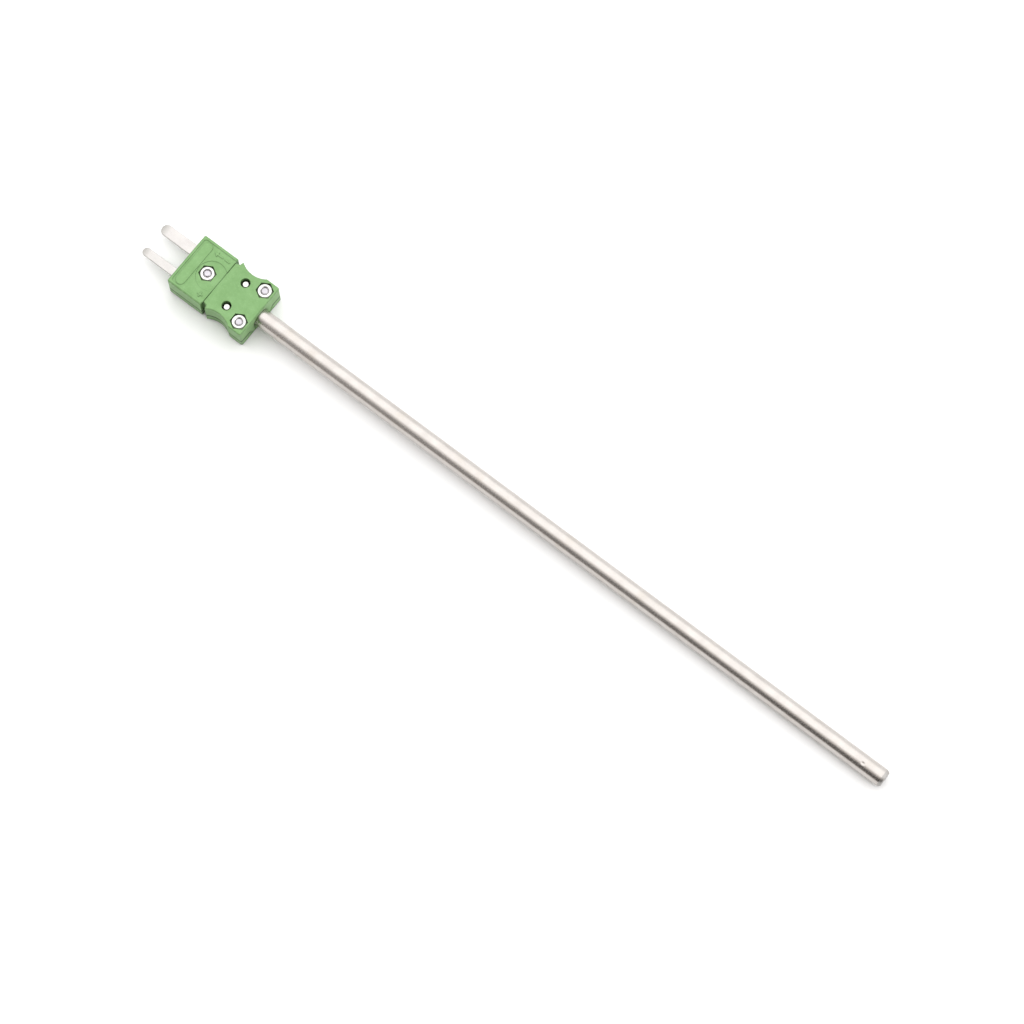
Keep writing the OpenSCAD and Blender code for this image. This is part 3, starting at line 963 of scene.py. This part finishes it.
def bead_piece():
    """Fused junction bead: a slightly flattened ball with a rippled skin."""
    low, high = box_mm("hot_junction")
    centre = (low + high) / 2
    radius = (high.x - low.x) / 2
    bm = bmesh.new()
    bmesh.ops.create_icosphere(bm, subdivisions=5, radius=1)
    for v in bm.verts:
        ripple = 0.97 + 0.05 * noise.noise(v.co * 2.3)
        flattening = 1 - 0.12 * abs(v.co.z)
        v.co = centre + v.co * radius * ripple * flattening
    place_piece("fused_junction_bead", bm, "hot_junction")


wire_piece("nickel_chromium_wire", "positive_wire")
wire_piece("nickel_aluminium_wire", "negative_wire")
seal_piece()
bead_piece()

magnesia = frame["nodes"]["mineral_insulation"]
magnesia.data.materials.clear()
magnesia.data.materials.append(MATERIALS["packed_magnesia"])


# --- floor, light and camera ---------------------------------------------------------------------


def floor_piece():
    """Pale table, tilted to touch the plug's rear lower edge and the start of the sheath's taper."""
    rise = (-SHEATH_R - BOTTOM_Z) / (TIP_X - TIP_TAPER)
    reach = 4000
    middle_x = TIP_X / 2
    bm = bmesh.new()
    corners = []
    for x, y in ((-reach, -reach), (reach, -reach), (reach, reach), (-reach, reach)):
        corners.append(bm.verts.new((middle_x + x, y, BOTTOM_Z + rise * (middle_x + x))))
    bm.faces.new(corners)
    bm.transform(Matrix.Scale(MM, 4))
    mesh = bpy.data.meshes.new("table")
    bm.to_mesh(mesh)
    bm.free()
    material, tree, shader, place = new_material("white_card")
    cloud = spread(tree, noise_field(tree, place, size_mm=400, detail=2), 0, 1)
    colour = blend_colour(tree, cloud, (0.90, 0.90, 0.90), (0.92, 0.92, 0.915))
    tree.links.new(colour, shader.inputs["Base Color"])
    shader.inputs["Roughness"].default_value = 0.9
    shader.inputs["Specular IOR Level"].default_value = 0.1
    mesh.materials.append(material)
    table = bpy.data.objects.new("table", mesh)
    bpy.context.scene.collection.objects.link(table)


LAMP = 1.95  # the brightest part of the studio, in the same units as the levels below
WHITE = (1, 1, 1)
WARM = (1, 0.94, 0.90)
BROWN = (1, 0.86, 0.74)
# The light by its angle from overhead about the X axis, -90 at the -Y horizon and 90 at the +Y
# one, as (degrees, level, tint).
OVERHEAD = [(-8, 1.92, WHITE), (50, 1.92, WHITE), (72, 1.41, WHITE), (90, 1.30, WHITE)]
PALE_WALL = [(-90, 1.13, WARM), (-36, 1.53, WHITE)]
DARK_GAP = [(-90, 0.68, WARM), (-78, 0.034, BROWN), (-48, 0.034, BROWN), (-26, 0.92, WARM)]


def light_ramp(tree, share, stops):
    """Colours along the ramp's share, as parts of LAMP."""
    node = add(tree, "ShaderNodeValToRGB", {"Fac": share})
    elements = node.color_ramp.elements
    while len(elements) > 1:
        elements.remove(elements[-1])
    for i, (degrees, level, tint) in enumerate(stops):
        position = (degrees + 90) / 180
        stop = elements[0] if i == 0 else elements.new(position)
        stop.position = position
        stop.color = (*shade(tint, level / LAMP), 1)
    return node.outputs["Color"]


def studio_light():
    """Soft light from overhead and from +Y, with a dark gap low on the -Y side.

    Towards -X the gap gives way to a pale wall, and the end wall behind it is slightly darker.
    """
    world = bpy.data.worlds.new("studio")
    world.use_nodes = True
    bpy.context.scene.world = world
    tree = world.node_tree
    tree.nodes.clear()
    way = add(tree, "ShaderNodeTexCoord").outputs["Generated"]
    parts = add(tree, "ShaderNodeSeparateXYZ", {"Vector": way}).outputs
    tilt = calculate(tree, "ARCTAN2", parts["Y"], parts["Z"])
    share = spread(tree, tilt, 0, 1, -math.pi / 2, math.pi / 2)
    pale_side = light_ramp(tree, share, PALE_WALL + OVERHEAD)
    dark_side = light_ramp(tree, share, DARK_GAP + OVERHEAD)
    sides = {
        "Factor": spread(tree, parts["X"], 0, 1, -0.64, -0.02),
        "A": pale_side,
        "B": dark_side,
    }
    colour = add(tree, "ShaderNodeMix", sides, data_type="RGBA").outputs[2]
    end_wall = spread(tree, parts["X"], low=0.10, high=0, from_low=-0.9, from_high=-0.5)
    colour = mix_over(tree, colour, (0, 0, 0), end_wall)
    light = add(tree, "ShaderNodeBackground", {"Color": colour, "Strength": LAMP})
    output = add(tree, "ShaderNodeOutputWorld")
    tree.links.new(light.outputs[0], output.inputs["Surface"])


CAMERA_AZIMUTH = math.radians(37.73)  # from -Y towards +X
CAMERA_ELEVATION = math.radians(73.58)
CAMERA_DISTANCE = 946.8
CAMERA_AIM = Vector((84.56, -1.86, 0))
LENS = 129.2


def studio_camera():
    """Long lens high above the probe, turned towards the plug's corner."""
    back = Vector(
        (
            math.sin(CAMERA_AZIMUTH) * math.cos(CAMERA_ELEVATION),
            -math.cos(CAMERA_AZIMUTH) * math.cos(CAMERA_ELEVATION),
            math.sin(CAMERA_ELEVATION),
        )
    )
    lens = bpy.data.cameras.new("camera")
    lens.lens = LENS
    lens.sensor_width = 36
    lens.clip_start = 0.01
    lens.clip_end = 30
    camera = bpy.data.objects.new("camera", lens)
    bpy.context.scene.collection.objects.link(camera)
    camera.location = (CAMERA_AIM + back * CAMERA_DISTANCE) * MM
    camera.rotation_euler = (-back).to_track_quat("-Z", "Y").to_euler()
    bpy.context.scene.camera = camera


floor_piece()
studio_light()
studio_camera()
bpy.context.scene.view_settings.view_transform = "Standard"
